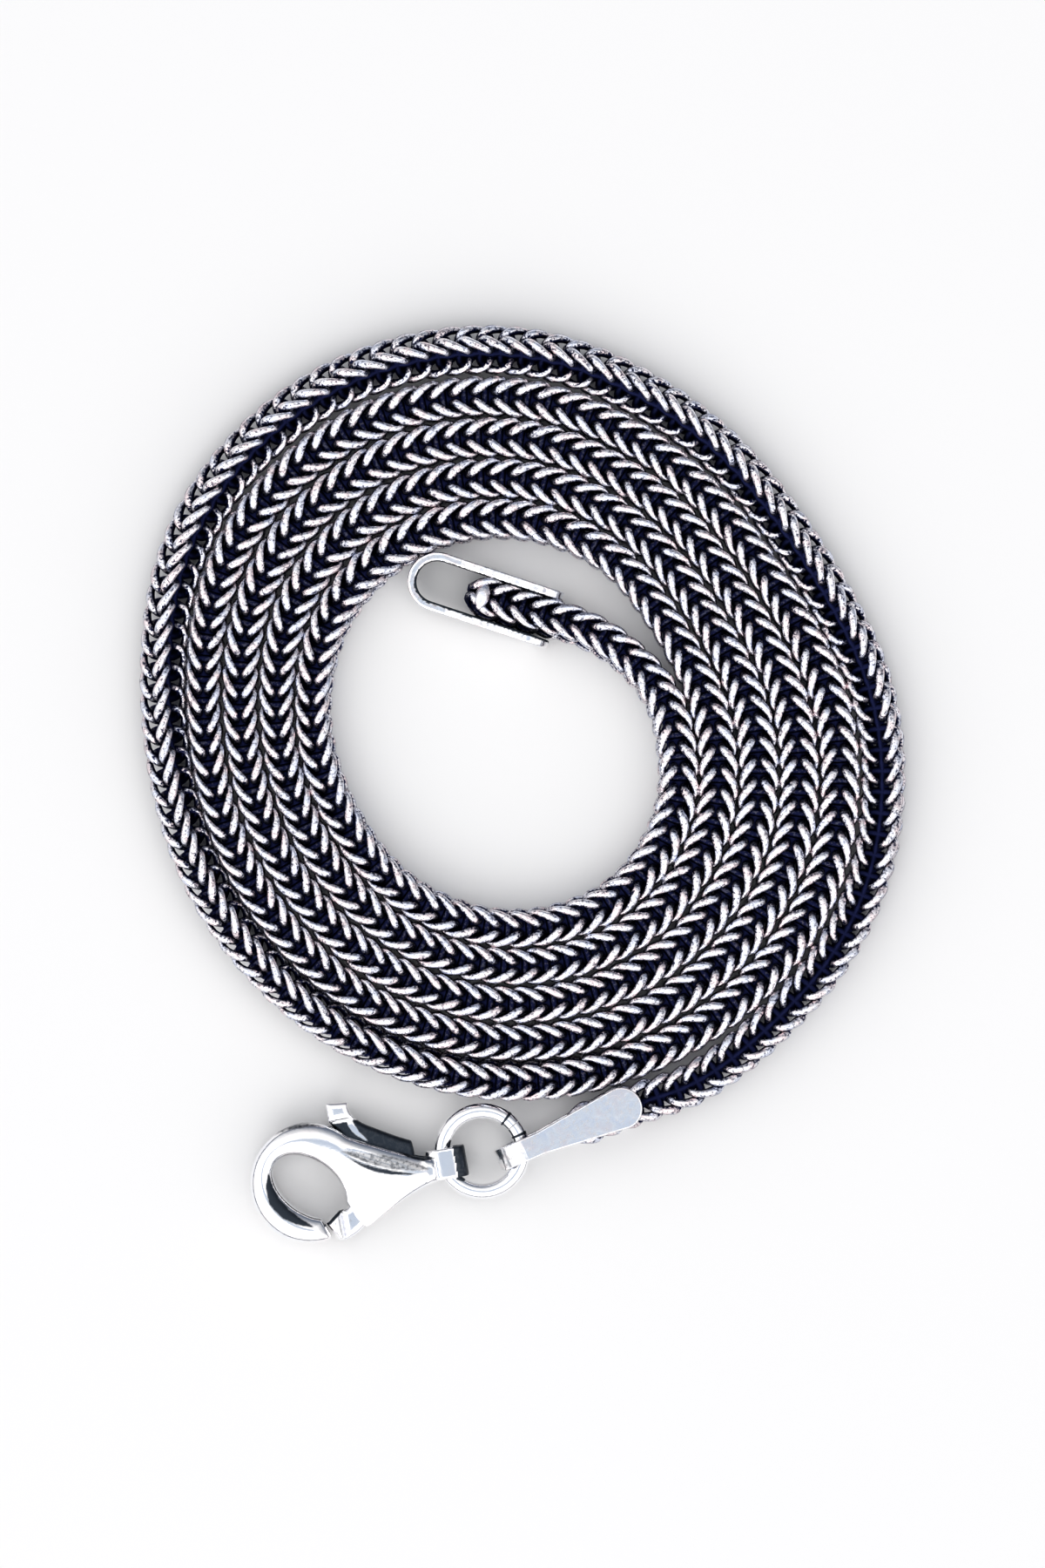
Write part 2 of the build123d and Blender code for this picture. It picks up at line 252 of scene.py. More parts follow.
def coil_point(step):
    """A control point of the spiral, in the plane of the strand's middle."""
    first, room = COIL_BY_DIRECTION[step % len(COIL_BY_DIRECTION)]
    turns = step / len(COIL_BY_DIRECTION)
    off_peak = abs(turns - STANDOFF_AT_TURN) / STANDOFF_HALF_SPAN_TURNS
    standoff = STANDOFF * math.cos(math.pi / 2 * min(off_peak, 1)) ** 2
    radius = HOLE_RADIUS * first + (STRAND_WIDTH + TURN_ROOM * room) * turns + standoff
    return SPIRAL_CENTRE + direction(-360 * turns) * radius + Vector((0, 0, STRAND_MIDDLE))


def runs_from(start, before, runs):
    """Points that follow start, each run turned from the one before it."""
    heading = math.degrees(math.atan2(start.y - before.y, start.x - before.x))
    points = []
    for length, turn, lift_share in runs:
        heading += turn
        start = start + direction(heading) * length * MM
        points.append(start + Vector((0, 0, CAP_LIFT * lift_share)))
    return points


coil = [coil_point(step) for step in range(COIL_STEPS + 1)]
inner_points = runs_from(coil[0], coil[1], INNER_END_RUNS)
outer_points = runs_from(coil[-1], coil[-2], OUTER_END_RUNS)
route = inner_points[::-1] + coil + outer_points


def smooth_loop(points, per_point):
    """A closed smooth line through points, with so many new points to each (Catmull-Rom)."""
    before, after, next_after = (np.roll(points, shift, axis=0) for shift in (1, -1, -2))
    parts = []
    for share in np.arange(per_point) / per_point:
        parts.append(0.5 * (
            2 * points
            + (after - before) * share
            + (2 * before - 5 * points + 4 * after - next_after) * share ** 2
            + (3 * points - before - 3 * after + next_after) * share ** 3
        ))
    return np.stack(parts, axis=1).reshape(-1, points.shape[1])


def link_wire():
    """One link's wire round the origin of its waist: its points, and how far each is rubbed."""
    quarter = np.array(LINK_QUARTER)
    mirror_across = (quarter * (1, -1, 1, 1))[-2::-1]
    mirror_both = (quarter * (-1, -1, 1, 1))[1:]
    mirror_out = (quarter * (-1, 1, 1, 1))[-2:0:-1]
    corners = np.vstack([quarter, mirror_across, mirror_both, mirror_out])
    wire = smooth_loop(corners, RINGS_PER_POINT)
    centre = wire[:, :3]
    ahead = np.roll(centre, -1, axis=0) - np.roll(centre, 1, axis=0)
    ahead /= np.linalg.norm(ahead, axis=1)[:, None]
    middle = np.array([0, 0, quarter[:, 2].mean()])
    outward = centre - middle
    outward -= ahead * (outward * ahead).sum(axis=1)[:, None]
    outward /= np.linalg.norm(outward, axis=1)[:, None]
    beside = np.cross(ahead, outward)
    turn = 2 * np.pi * np.arange(WIRE_SIDES) / WIRE_SIDES
    rim = (
        outward[:, None, :] * np.cos(turn)[None, :, None]
        + beside[:, None, :] * np.sin(turn)[None, :, None]
    )
    reached = (np.abs(centre[:, :2]) - RUB_FROM) / np.subtract(RUB_FULL, RUB_FROM)
    facing = rim[:, :, :2] * np.sign(centre[:, :2])[:, None, :]
    points = centre[:, None, :] + 0.5 * wire[:, 3, None, None] * rim
    rubbed = (np.clip(reached, 0, 1)[:, None, :] * facing).max(axis=2)
    return points.reshape(-1, 3), rubbed.reshape(-1)


def tube_faces(rings, next_rings, sides):
    """A tube's faces, from the number of the first point in each ring and in the ring after it."""
    side = np.arange(sides)[None, :]
    next_side = (side + 1) % sides
    rings, next_rings = rings[:, None], next_rings[:, None]
    corners = [rings + side, next_rings + side, next_rings + next_side, rings + next_side]
    return np.stack(corners, axis=2).reshape(-1, 4)


wire_points, wire_rub = link_wire()
wire_rings = np.arange(0, len(wire_points), WIRE_SIDES)
link_faces = tube_faces(wire_rings, np.roll(wire_rings, -1), WIRE_SIDES)

# The strand's middle line is smooth: a NURBS spline with the route as its control points
route_data = bpy.data.curves.new("route", "CURVE")
route_data.dimensions = "3D"
route_data.resolution_u = LINE_POINTS
spline = route_data.splines.new("NURBS")
spline.points.add(len(route) - 1)
for control, point in zip(spline.points, route):
    control.co = (*point, 1)
spline.order_u = 3
spline.use_endpoint_u = True
route_object = bpy.data.objects.new("route", route_data)
bpy.context.scene.collection.objects.link(route_object)
depsgraph = bpy.context.evaluated_depsgraph_get()
line_mesh = bpy.data.meshes.new_from_object(route_object.evaluated_get(depsgraph))
line = np.array([vertex.co for vertex in line_mesh.vertices], float)
bpy.data.objects.remove(route_object)
bpy.data.meshes.remove(line_mesh)

around = np.unwrap(np.arctan2(SPIRAL_CENTRE.y - line[:, 1], line[:, 0] - SPIRAL_CENTRE.x))
coil_start = np.argmin(np.linalg.norm(line - np.array(coil[0]), axis=1))
around = np.degrees(around - around[coil_start])
rolls = np.interp(around, *np.array(ROLL_AT, float).T)

rooms = [room for _, room in COIL_BY_DIRECTION]
turn_marks = np.linspace(0, 360, len(rooms) + 1)
turn_spacing = STRAND_WIDTH + TURN_ROOM * np.interp(around % 360, turn_marks, rooms + rooms[:1])
link_width = 2 * wire_points[:, 1].max() * WIRE
spreads = (SMOOTHED_SHARE * turn_spacing - PRESSED_ROOM) / link_width
ear_spreads = 1 + SIDE_SPREAD * np.sin(np.radians(rolls)) ** 2

# Where the strand is rolled it rests on the links' corners, which lifts its middle
leans = np.radians(rolls)[:, None]
spread_out = ear_spreads[:, None] * wire_points[None, :, 0]
spread_across = spreads[:, None] * wire_points[None, :, 1]
half_heights = np.max(np.cos(leans) * spread_out + np.sin(leans) * spread_across, axis=1)
line[:, 2] = np.maximum(line[:, 2], half_heights * WIRE)
steps = np.linalg.norm(np.diff(line, axis=0), axis=1)
travel = np.concatenate([[0], np.cumsum(steps)])
tangents = np.gradient(line, travel, axis=0)
tangents /= np.linalg.norm(tangents, axis=1)[:, None]


def on_line(distance, values):
    """Values along the strand's middle line, read at some distances from its start."""
    columns = [np.interp(distance, travel, column) for column in values.T]
    return np.stack(columns, axis=1)


def lay_on_strand(local):
    """Points given as out, across and along the straight strand, laid on the real one."""
    out, across, along = local.T
    middle = on_line(along, line)
    beyond = along - np.clip(along, 0, travel[-1])
    ahead = on_line(along, tangents)
    ahead /= np.linalg.norm(ahead, axis=1)[:, None]
    outward = np.cross((0, 0, 1), ahead)
    outward /= np.linalg.norm(outward, axis=1)[:, None]
    up = np.cross(ahead, outward)
    roll = np.radians(np.interp(along, travel, rolls))[:, None]
    ears = np.cos(roll) * up + np.sin(roll) * outward
    side = np.cross(ears, ahead) * np.interp(along, travel, spreads)[:, None]
    ears = ears * np.interp(along, travel, ear_spreads)[:, None]
    return middle + ahead * beyond[:, None] + ears * out[:, None] + side * across[:, None]


link_reach = wire_points[:, 2].max()
link_count = int((travel[-1] / WIRE - link_reach) / (LINK_PITCH / WIRE)) + 1


def new_group(name, inputs, outputs):
    """A shader node group with its inputs and outputs as (name, type, value) rows."""
    group = bpy.data.node_groups.new(name, "ShaderNodeTree")
    for socket_name, kind, value in inputs:
        socket = group.interface.new_socket(socket_name, in_out="INPUT", socket_type=kind)
        socket.default_value = value
    for socket_name, kind in outputs:
        group.interface.new_socket(socket_name, in_out="OUTPUT", socket_type=kind)
    return group, group.nodes.new("NodeGroupInput"), group.nodes.new("NodeGroupOutput")


# Silver's surface: bright where it is polished and not in painted shade, faintly tinted, pitted and
# dented. A pit deepens as its noise falls through the first span, and silver turns bright as the
# polish that the pits leave rises through the second. A slower noise tints it, cool, not at all and
# warm
PIT_SPAN = (0.36, 0.58)
PIT_NOISE = {"Detail": 3.0, "Roughness": 0.6}
BRIGHT_SPAN = (0.05, 0.62)
TINT_STEPS = (0.34, 0.5, 0.66)
COOL_TINT = (0.62, 0.74, 1.0, 1)
NO_TINT = (1.0, 1.0, 1.0, 1)
WARM_TINT = (1.0, 0.70, 0.66, 1)

surface, given, result = new_group(
    "silver_surface",
    [
        ("Polish And Shade", "NodeSocketFloat", 1.0),
        ("Pit Size", "NodeSocketFloat", 0.00012),
        ("Pit Share", "NodeSocketFloat", 0.3),
        ("Tint", "NodeSocketFloat", 0.1),
        ("Tint Size", "NodeSocketFloat", 0.0008),
    ],
    [
        ("Bright", "NodeSocketFloat"),
        ("Tint", "NodeSocketColor"),
        ("Height", "NodeSocketFloat"),
        ("Waves", "NodeSocketFloat"),
    ],
)
place = surface.nodes.new("ShaderNodeTexCoord")
pit_scale = surface.nodes.new("ShaderNodeMath")
pit_scale.operation = "DIVIDE"
pit_scale.inputs[0].default_value = 1.0
pits = surface.nodes.new("ShaderNodeTexNoise")
for input_name, value in PIT_NOISE.items():
    pits.inputs[input_name].default_value = value
pit_depth = soft_step(surface, PIT_SPAN)
pit_depth.inputs["To Min"].default_value = 1.0
pit_depth.inputs["To Max"].default_value = 0.0
pitted = surface.nodes.new("ShaderNodeMath")
pitted.operation = "MULTIPLY"
kept = surface.nodes.new("ShaderNodeMath")
kept.operation = "SUBTRACT"
bright = soft_step(surface, BRIGHT_SPAN)
tint_scale = surface.nodes.new("ShaderNodeMath")
tint_scale.operation = "DIVIDE"
tint_scale.inputs[0].default_value = 1.0
tint_place = surface.nodes.new("ShaderNodeTexNoise")
tint_place.inputs["Detail"].default_value = 1.0
tint_colors = surface.nodes.new("ShaderNodeValToRGB")
ramp = tint_colors.color_ramp.elements
ramp[0].position, ramp[0].color = TINT_STEPS[0], COOL_TINT
ramp[1].position, ramp[1].color = TINT_STEPS[2], WARM_TINT
ramp.new(TINT_STEPS[1]).color = NO_TINT
tinted = color_mix(surface, A=NO_TINT)
surface.links.new(given.outputs["Pit Size"], pit_scale.inputs[1])
surface.links.new(place.outputs["Object"], pits.inputs["Vector"])
surface.links.new(pit_scale.outputs["Value"], pits.inputs["Scale"])
surface.links.new(pits.outputs["Fac"], pit_depth.inputs["Value"])
surface.links.new(pit_depth.outputs["Result"], pitted.inputs[0])
surface.links.new(given.outputs["Pit Share"], pitted.inputs[1])
surface.links.new(given.outputs["Polish And Shade"], kept.inputs[0])
surface.links.new(pitted.outputs["Value"], kept.inputs[1])
surface.links.new(kept.outputs["Value"], bright.inputs["Value"])
surface.links.new(given.outputs["Tint Size"], tint_scale.inputs[1])
surface.links.new(place.outputs["Object"], tint_place.inputs["Vector"])
surface.links.new(tint_scale.outputs["Value"], tint_place.inputs["Scale"])
surface.links.new(tint_place.outputs["Fac"], tint_colors.inputs["Fac"])
surface.links.new(given.outputs["Tint"], tinted.inputs["Factor"])
surface.links.new(tint_colors.outputs["Color"], tinted.inputs["B"])
surface.links.new(bright.outputs["Result"], result.inputs["Bright"])
surface.links.new(tinted.outputs["Result"], result.inputs["Tint"])
surface.links.new(pits.outputs["Fac"], result.inputs["Height"])
surface.links.new(tint_place.outputs["Fac"], result.inputs["Waves"])

oxidised = bpy.data.materials.new("oxidised_chain")
oxidised.use_nodes = True
tree = oxidised.node_tree
shader = tree.nodes["Principled BSDF"]
shader.inputs["Metallic"].default_value = 1.0
shader.inputs["Specular Tint"].default_value = GLANCING_COLOR
rub = tree.nodes.new("ShaderNodeAttribute")
rub.attribute_name = "rubbed"
wear = tree.nodes.new("ShaderNodeGroup")
wear.node_tree = surface
for input_name, value in CHAIN_WEAR.items():
    wear.inputs[input_name].default_value = value
silver_color = color_mix(tree, Factor=1.0, A=RUBBED_COLOR)
silver_color.blend_type = "MULTIPLY"
color = color_mix(tree, A=BATH_COLOR)
rough = tree.nodes.new("ShaderNodeMapRange")
rough.inputs["To Min"].default_value = BATH_ROUGHNESS
rough.inputs["To Max"].default_value = RUBBED_ROUGHNESS
bump = tree.nodes.new("ShaderNodeBump")
bump.inputs["Strength"].default_value = 1.0
bump.inputs["Distance"].default_value = CHAIN_PIT_DEPTH
tree.links.new(rub.outputs["Fac"], wear.inputs["Polish And Shade"])
tree.links.new(wear.outputs["Tint"], silver_color.inputs["B"])
tree.links.new(wear.outputs["Bright"], color.inputs["Factor"])
tree.links.new(silver_color.outputs["Result"], color.inputs["B"])
tree.links.new(color.outputs["Result"], shader.inputs["Base Color"])
tree.links.new(wear.outputs["Bright"], rough.inputs["Value"])
tree.links.new(rough.outputs["Result"], shader.inputs["Roughness"])
tree.links.new(wear.outputs["Height"], bump.inputs["Height"])
tree.links.new(bump.outputs["Normal"], shader.inputs["Normal"])


def mark_points(mesh, name, values):
    """Gives each point of the mesh a number that its material reads."""
    marks = mesh.attributes.new(name, "FLOAT", "POINT")
    marks.data.foreach_set("value", values.astype(np.float32))


def dress(mesh, material):
    """Shades the mesh smooth and gives it one material."""
    mesh.polygons.foreach_set("use_smooth", [True] * len(mesh.polygons))
    mesh.materials.clear()
    mesh.materials.append(material)


for piece_number, links in enumerate(np.array_split(np.arange(link_count), CHAIN_PIECES)):
    points = np.vstack([wire_points + (0, 0, link * LINK_PITCH / WIRE) for link in links]) * WIRE
    offsets = np.arange(len(links))[:, None, None] * len(wire_points)
    faces = (link_faces[None] + offsets).reshape(-1, 4)
    mesh = bpy.data.meshes.new(f"foxtail_links_{piece_number + 1}")
    mesh.from_pydata(lay_on_strand(points).tolist(), [], faces.tolist())
    mark_points(mesh, "rubbed", np.tile(wire_rub, len(links)))
    dress(mesh, oxidised)
    piece = bpy.data.objects.new(mesh.name, mesh)
    bpy.context.scene.collection.objects.link(piece)
    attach(piece, "necklace")
    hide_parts("chain")

last_waist = (link_count - 1) * LINK_PITCH
core_marks = np.arange(CORE_START, last_waist + CORE_END, LINK_PITCH / CORE_RINGS_PER_LINK)
core_ribs = 1 - CORE_RIB * (0.5 + 0.5 * np.cos(2 * np.pi * core_marks / LINK_PITCH))
core_turn = 2 * np.pi * np.arange(CORE_SIDES) / CORE_SIDES
core_points = np.stack(np.broadcast_arrays(
    CORE_HALF_SIZES[0] * np.cos(core_turn)[None, :],
    CORE_HALF_SIZES[1] * np.sin(core_turn)[None, :] * core_ribs[:, None],
    core_marks[:, None],
), axis=2).reshape(-1, 3)
core_rings = np.arange(0, len(core_points), CORE_SIDES)
core_faces = tube_faces(core_rings[:-1], core_rings[1:], CORE_SIDES).tolist()
core_end = np.arange(CORE_SIDES)
core_faces += [core_end.tolist(), (core_rings[-1] + core_end)[::-1].tolist()]
# Painted shade: the core has no rubbed marks, so it is all in the bath's dark colour
core_mesh = bpy.data.meshes.new("strand_core")
core_mesh.from_pydata(lay_on_strand(core_points).tolist(), [], core_faces)
dress(core_mesh, oxidised)
core = bpy.data.objects.new("strand_core", core_mesh)
bpy.context.scene.collection.objects.link(core)
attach(core, "necklace")
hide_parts("chain")


# End of the chain. The first link's ears are closed over the strand with a drop of silver solder,
# so that the strand can't come undone. The cloth has worn the drop bright where it stands out.
SOLDER_PLACE = (1.0 * MM, -0.25 * MM, 0.78 * MM)
SOLDER_HALF_SIZES = (0.42 * MM, 0.88 * MM, 0.48 * MM)
SOLDER_RUB = 1.5
SOLDER_ROUNDS = 20
SOLDER_BANDS = 12

solder_points = []
for band in range(1, SOLDER_BANDS):
    down = math.pi * band / SOLDER_BANDS
    for step in range(SOLDER_ROUNDS):
        turn = 2 * math.pi * step / SOLDER_ROUNDS
        across, along = math.cos(turn), math.sin(turn)
        solder_points.append((math.cos(down), math.sin(down) * across, math.sin(down) * along))
solder_points += [(1, 0, 0), (-1, 0, 0)]
solder_faces = []
last_row = (SOLDER_BANDS - 2) * SOLDER_ROUNDS
for step in range(SOLDER_ROUNDS):
    ahead = (step + 1) % SOLDER_ROUNDS
    solder_faces.append((ahead, step, len(solder_points) - 2))
    solder_faces.append((last_row + step, last_row + ahead, len(solder_points) - 1))
    for row in range(0, last_row, SOLDER_ROUNDS):
        next_row = row + SOLDER_ROUNDS
        solder_faces.append((row + ahead, next_row + ahead, next_row + step, row + step))
solder = bpy.data.meshes.new("end_solder")
placed = lay_on_strand(np.array(solder_points) * SOLDER_HALF_SIZES + SOLDER_PLACE)
solder.from_pydata(placed.tolist(), [], solder_faces)
mark_points(solder, "rubbed", SOLDER_RUB * np.array(solder_points)[:, 0])
dress(solder, oxidised)
drop = bpy.data.objects.new("end_solder", solder)
bpy.context.scene.collection.objects.link(drop)
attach(drop, "necklace")
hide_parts("chain")


# End caps. Each is a strip of rolled silver folded into a long U over the chain's last links and
# pinched on to them. Its broad leg is bright, its edges are left as they were cut and filed.

# Silver's own colour, how many times rougher it is where it is dark, and a pit's depth for its size
SILVER_COLOR = (0.96, 0.96, 0.97, 1)
DULL_TO_BRIGHT = 3
PIT_DEPTH_SHARE = 0.03


def silver_material(name, dark, pit_size, pit_share, tint, wave_size, wave_depth, roughness):
    """Silver, dark where unpolished and in painted shade, with small pits and shallow waves from
    the making.

    Gives the material and its skin, whose polish-and-shade input says where it is bright.
    """
    material = bpy.data.materials.new(name)
    material.use_nodes = True
    tree = material.node_tree
    shader = tree.nodes["Principled BSDF"]
    shader.inputs["Metallic"].default_value = 1.0
    skin = tree.nodes.new("ShaderNodeGroup")
    skin.node_tree = surface
    skin.inputs["Pit Size"].default_value = pit_size
    skin.inputs["Pit Share"].default_value = pit_share
    skin.inputs["Tint"].default_value = tint
    skin.inputs["Tint Size"].default_value = wave_size
    tinted = color_mix(tree, Factor=1.0, A=SILVER_COLOR)
    tinted.blend_type = "MULTIPLY"
    color = color_mix(tree, A=dark)
    rough = tree.nodes.new("ShaderNodeMapRange")
    rough.inputs["To Min"].default_value = DULL_TO_BRIGHT * roughness
    rough.inputs["To Max"].default_value = roughness
    waves = tree.nodes.new("ShaderNodeBump")
    waves.inputs["Distance"].default_value = wave_depth
    pits = tree.nodes.new("ShaderNodeBump")
    pits.inputs["Distance"].default_value = PIT_DEPTH_SHARE * pit_size
    tree.links.new(skin.outputs["Tint"], tinted.inputs["B"])
    tree.links.new(skin.outputs["Bright"], color.inputs["Factor"])
    tree.links.new(tinted.outputs["Result"], color.inputs["B"])
    tree.links.new(color.outputs["Result"], shader.inputs["Base Color"])
    tree.links.new(skin.outputs["Bright"], rough.inputs["Value"])
    tree.links.new(rough.outputs["Result"], shader.inputs["Roughness"])
    tree.links.new(skin.outputs["Waves"], waves.inputs["Height"])
    tree.links.new(skin.outputs["Height"], pits.inputs["Height"])
    tree.links.new(waves.outputs["Normal"], pits.inputs["Normal"])
    tree.links.new(pits.outputs["Normal"], shader.inputs["Normal"])
    return material, skin


PIT_GREY = (0.30, 0.31, 0.34, 1)
rolled_silver, _ = silver_material(
    "rolled_silver", PIT_GREY, pit_size=0.22 * MM, pit_share=0.62, tint=0.16,
    wave_size=0.8 * MM, wave_depth=0.03 * MM, roughness=0.17,
)
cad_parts["outer_end_cap"].data.materials.clear()
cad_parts["outer_end_cap"].data.materials.append(rolled_silver)

# The inner cap lies on its edge. Its inside is dark, and so is a line along the inner edge of its
# fold and of one leg: where its fold's middle is, which way it points, the radius inside, and the
# line's width and soft edge. The same dark colour serves the ring's join and the clasp's painted
# shade
OXIDE_AND_SHADE = (0.045, 0.055, 0.07, 1)
FOLD_MIDDLE = np.array((-5.36, 12.65)) * MM
FOLD_DIRECTION = np.array((-0.9488, 0.3157))
FOLD_INSIDE_RADIUS = 1.28 * MM
FOLD_LINE = 0.12 * MM
FOLD_LINE_SOFT = 0.07 * MM
FOLD_DARK = 0.97
CAP_VOXEL = 0.07 * MM
CAP_RELAX_ROUNDS = 2
PLUG_SIDES = 32


def evenly_divided(node, voxel, plugs=()):
    """A copy of a CAD solid's mesh, with plugs let into it, in small even faces."""
    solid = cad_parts[node]
    shape = bmesh.new()
    shape.from_mesh(solid.data)
    shape.transform(solid.matrix_world)
    for place, radius, length in plugs:
        bmesh.ops.create_cone(
            shape, cap_ends=True, segments=PLUG_SIDES, radius1=radius, radius2=radius, depth=length,
            matrix=Matrix.Translation(place),
        )
    piece = bpy.data.objects.new("even_" + node, bpy.data.meshes.new("even_" + node))
    shape.to_mesh(piece.data)
    shape.free()
    bpy.context.scene.collection.objects.link(piece)
    remesh = piece.modifiers.new("even", "REMESH")
    remesh.mode = "VOXEL"
    remesh.voxel_size = voxel
    return settled(piece)


def settled(piece):
    """The piece with its modifiers applied."""
    depsgraph = bpy.context.evaluated_depsgraph_get()
    mesh = bpy.data.meshes.new_from_object(piece.evaluated_get(depsgraph))
    piece.modifiers.clear()
    piece.data = mesh
    return piece


def relaxed(piece, rounds):
    """The piece with its small faces evened out."""
    relax = piece.modifiers.new("relax", "SMOOTH")
    relax.iterations = rounds
    return settled(piece)


def read_points(mesh, what="co"):
    """The mesh's points, or what else each of them holds, one row each."""
    values = np.zeros(len(mesh.vertices) * 3)
    mesh.vertices.foreach_get(what, values)
    return values.reshape(-1, 3)


def polish_and_shade_by_marks(material, skin):
    """Makes the skin bright as far as the mesh's points are marked; on the clasp, dark marks are
    painted shade.
    """
    bright_share = material.node_tree.nodes.new("ShaderNodeAttribute")
    bright_share.attribute_name = "polish_and_shade"
    material.node_tree.links.new(bright_share.outputs["Fac"], skin.inputs["Polish And Shade"])


inner_cap = relaxed(evenly_divided("inner_end_cap", CAP_VOXEL), CAP_RELAX_ROUNDS)
from_fold = read_points(inner_cap.data)[:, :2] - FOLD_MIDDLE
into_fold = from_fold @ FOLD_DIRECTION
to_lower_leg = from_fold @ np.array((-FOLD_DIRECTION[1], FOLD_DIRECTION[0]))
from_inside = np.hypot(np.maximum(into_fold, 0), to_lower_leg) - FOLD_INSIDE_RADIUS
line_width = FOLD_LINE * np.clip(0.5 + to_lower_leg / FOLD_INSIDE_RADIUS, 0, 1)
dark = FOLD_DARK * np.clip(1 - (from_inside - line_width) / FOLD_LINE_SOFT, 0, 1)
strip_silver, strip_skin = silver_material(
    "strip_silver", OXIDE_AND_SHADE, pit_size=0.22 * MM, pit_share=0.54, tint=0.2,
    wave_size=0.8 * MM, wave_depth=0.04 * MM, roughness=0.17,
)
polish_and_shade_by_marks(strip_silver, strip_skin)
mark_points(inner_cap.data, "polish_and_shade", 1 - dark)
dress(inner_cap.data, strip_silver)
inner_cap.name = "inner_cap_strip"
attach(inner_cap, "necklace")
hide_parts("inner_end_cap")


# Jump ring. Round silver wire, drawn, wound and sawn into a ring, then closed with solder. Its join
# shows only as two fine dark lines round the wire, one on either side of the solder.
JOIN_DIRECTION = math.radians(39.0)
JOIN_HALF_SPAN = math.radians(15.0)
JOIN_LINE = (math.radians(1.2), math.radians(2.8))

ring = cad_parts["jump_ring"]
drawn_silver, ring_skin = silver_material(
    "drawn_silver", OXIDE_AND_SHADE, pit_size=0.20 * MM, pit_share=0.12, tint=0.06,
    wave_size=1.2 * MM, wave_depth=0.02 * MM, roughness=0.12,
)
tree = drawn_silver.node_tree
place = tree.nodes.new("ShaderNodeTexCoord")
from_middle = tree.nodes.new("ShaderNodeVectorMath")
from_middle.operation = "SUBTRACT"
from_middle.inputs[1].default_value = np.mean([corner[:] for corner in ring.bound_box], axis=0)
split = tree.nodes.new("ShaderNodeSeparateXYZ")
round_ring = tree.nodes.new("ShaderNodeMath")
round_ring.operation = "ARCTAN2"
# From the angle round the ring to how far it lies from the nearer of the join's two lines
to_line = (
    ("SUBTRACT", JOIN_DIRECTION),
    ("ABSOLUTE", 0),
    ("SUBTRACT", JOIN_HALF_SPAN),
    ("ABSOLUTE", 0),
)
steps_to_line = []
for operation, amount in to_line:
    step = tree.nodes.new("ShaderNodeMath")
    step.operation = operation
    step.inputs[1].default_value = amount
    steps_to_line.append(step)
off_line = tree.nodes.new("ShaderNodeMapRange")
off_line.inputs["From Min"].default_value, off_line.inputs["From Max"].default_value = JOIN_LINE
tree.links.new(place.outputs["Object"], from_middle.inputs[0])
tree.links.new(from_middle.outputs["Vector"], split.inputs["Vector"])
tree.links.new(split.outputs["Y"], round_ring.inputs[0])
tree.links.new(split.outputs["X"], round_ring.inputs[1])
for step_before, step in zip([round_ring] + steps_to_line, steps_to_line + [off_line]):
    tree.links.new(step_before.outputs["Value"], step.inputs[0])
tree.links.new(off_line.outputs["Result"], ring_skin.inputs["Polish And Shade"])
ring.data.materials.clear()
ring.data.materials.append(drawn_silver)


# Clasp body. Hook, two cheeks and eye are one silver casting, tumbled and polished by hand, so its
# faces are domed and its cheeks fall away from a ridge along their upper edge.
CLASP_PLACE = Vector((-13.2082, -24.9681, 1.45)) * MM
CLASP_TURN = math.radians(10.0)
CASTING_VOXEL = 0.085 * MM
# Its faces are domed, from a foot at their upright walls to the crest, this far in from the walls.
# A wall is what stands upright between the two heights of the band
CLASP_CREST = 1.45 * MM
DOME_FOOT = 0.80 * MM
DOME_REACH = 1.1 * MM
WALL_BAND = (0.70 * MM, 0.95 * MM)
WALL_SLOPE = 0.35
# The cheeks' upper edge, in the clasp's own millimetres, and a soft ridge that follows it inside.
# Below the ridge a cheek falls away by a share of the distance
CHEEK_RIM = [(1.1, 3.98), (2.93, 2.85), (4.33, 2.1), (5.75, 1.4), (7.83, 0.6)]
RIDGE_INSET = 0.75 * MM
RIDGE_SOFTNESS = 0.5 * MM
CHEEK_FALL = 0.12
# A shallow groove runs below the cheek's upper edge: how far below it, how wide, how deep, and how
# much of it there is along the clasp
GROOVE_INSET = 1.0 * MM
GROOVE_HALF_WIDTH = 0.42 * MM
GROOVE_DEPTH = 0.13 * MM
GROOVE_FADE = [(2.3, 0), (3.6, 1), (5.2, 1), (6.6, 0)]
# Painted shade: dark skin painted where the clasp lies in shade and where it mirrors its dim
# surroundings. Each mark is a line in the clasp's own millimetres, its half width, its soft edge
# and
# how dark it is: inside the hook, on the hook's outer edge, on the neck before the eye, and where
# the gate meets the cheek
CASTING_SHADE_MARKS = [
    (
        [(-2.3, 1.75), (-2.42, 0.55), (-2.25, -0.32), (-1.72, -1.14), (-0.98, -1.76), (0.1, -2.42)],
        0.3, 0.16, 0.97,
    ),
    ([(-2.56, 3.16), (-1.71, 3.83), (-0.75, 4.08), (0.52, 4.02), (1.74, 3.7)], 0.1, 0.25, 0.75),
    ([(5.7, 1.5), (6.41, 1.12), (7.26, 0.75), (8.1, 0.6)], 0.16, 0.12, 0.9),
    ([(2.63, 0.23), (2.81, -0.63), (2.58, -1.69)], 0.04, 0.25, 0.4),
]
# The groove holds a painted grey band of shade and dim reflection, darker at its foot
GROOVE_SHADE_MARKS = [
    ([(1.9, 2.25), (3.72, 1.44), (5.09, 0.89), (6.46, 0.38), (8.0, -0.1)], 0.32, 0.22, 0.66),
    ([(2.2, 2.0), (3.46, 1.0), (4.29, 0.54), (5.33, 0.17), (7.4, -0.32)], 0.1, 0.14, 0.92),
]
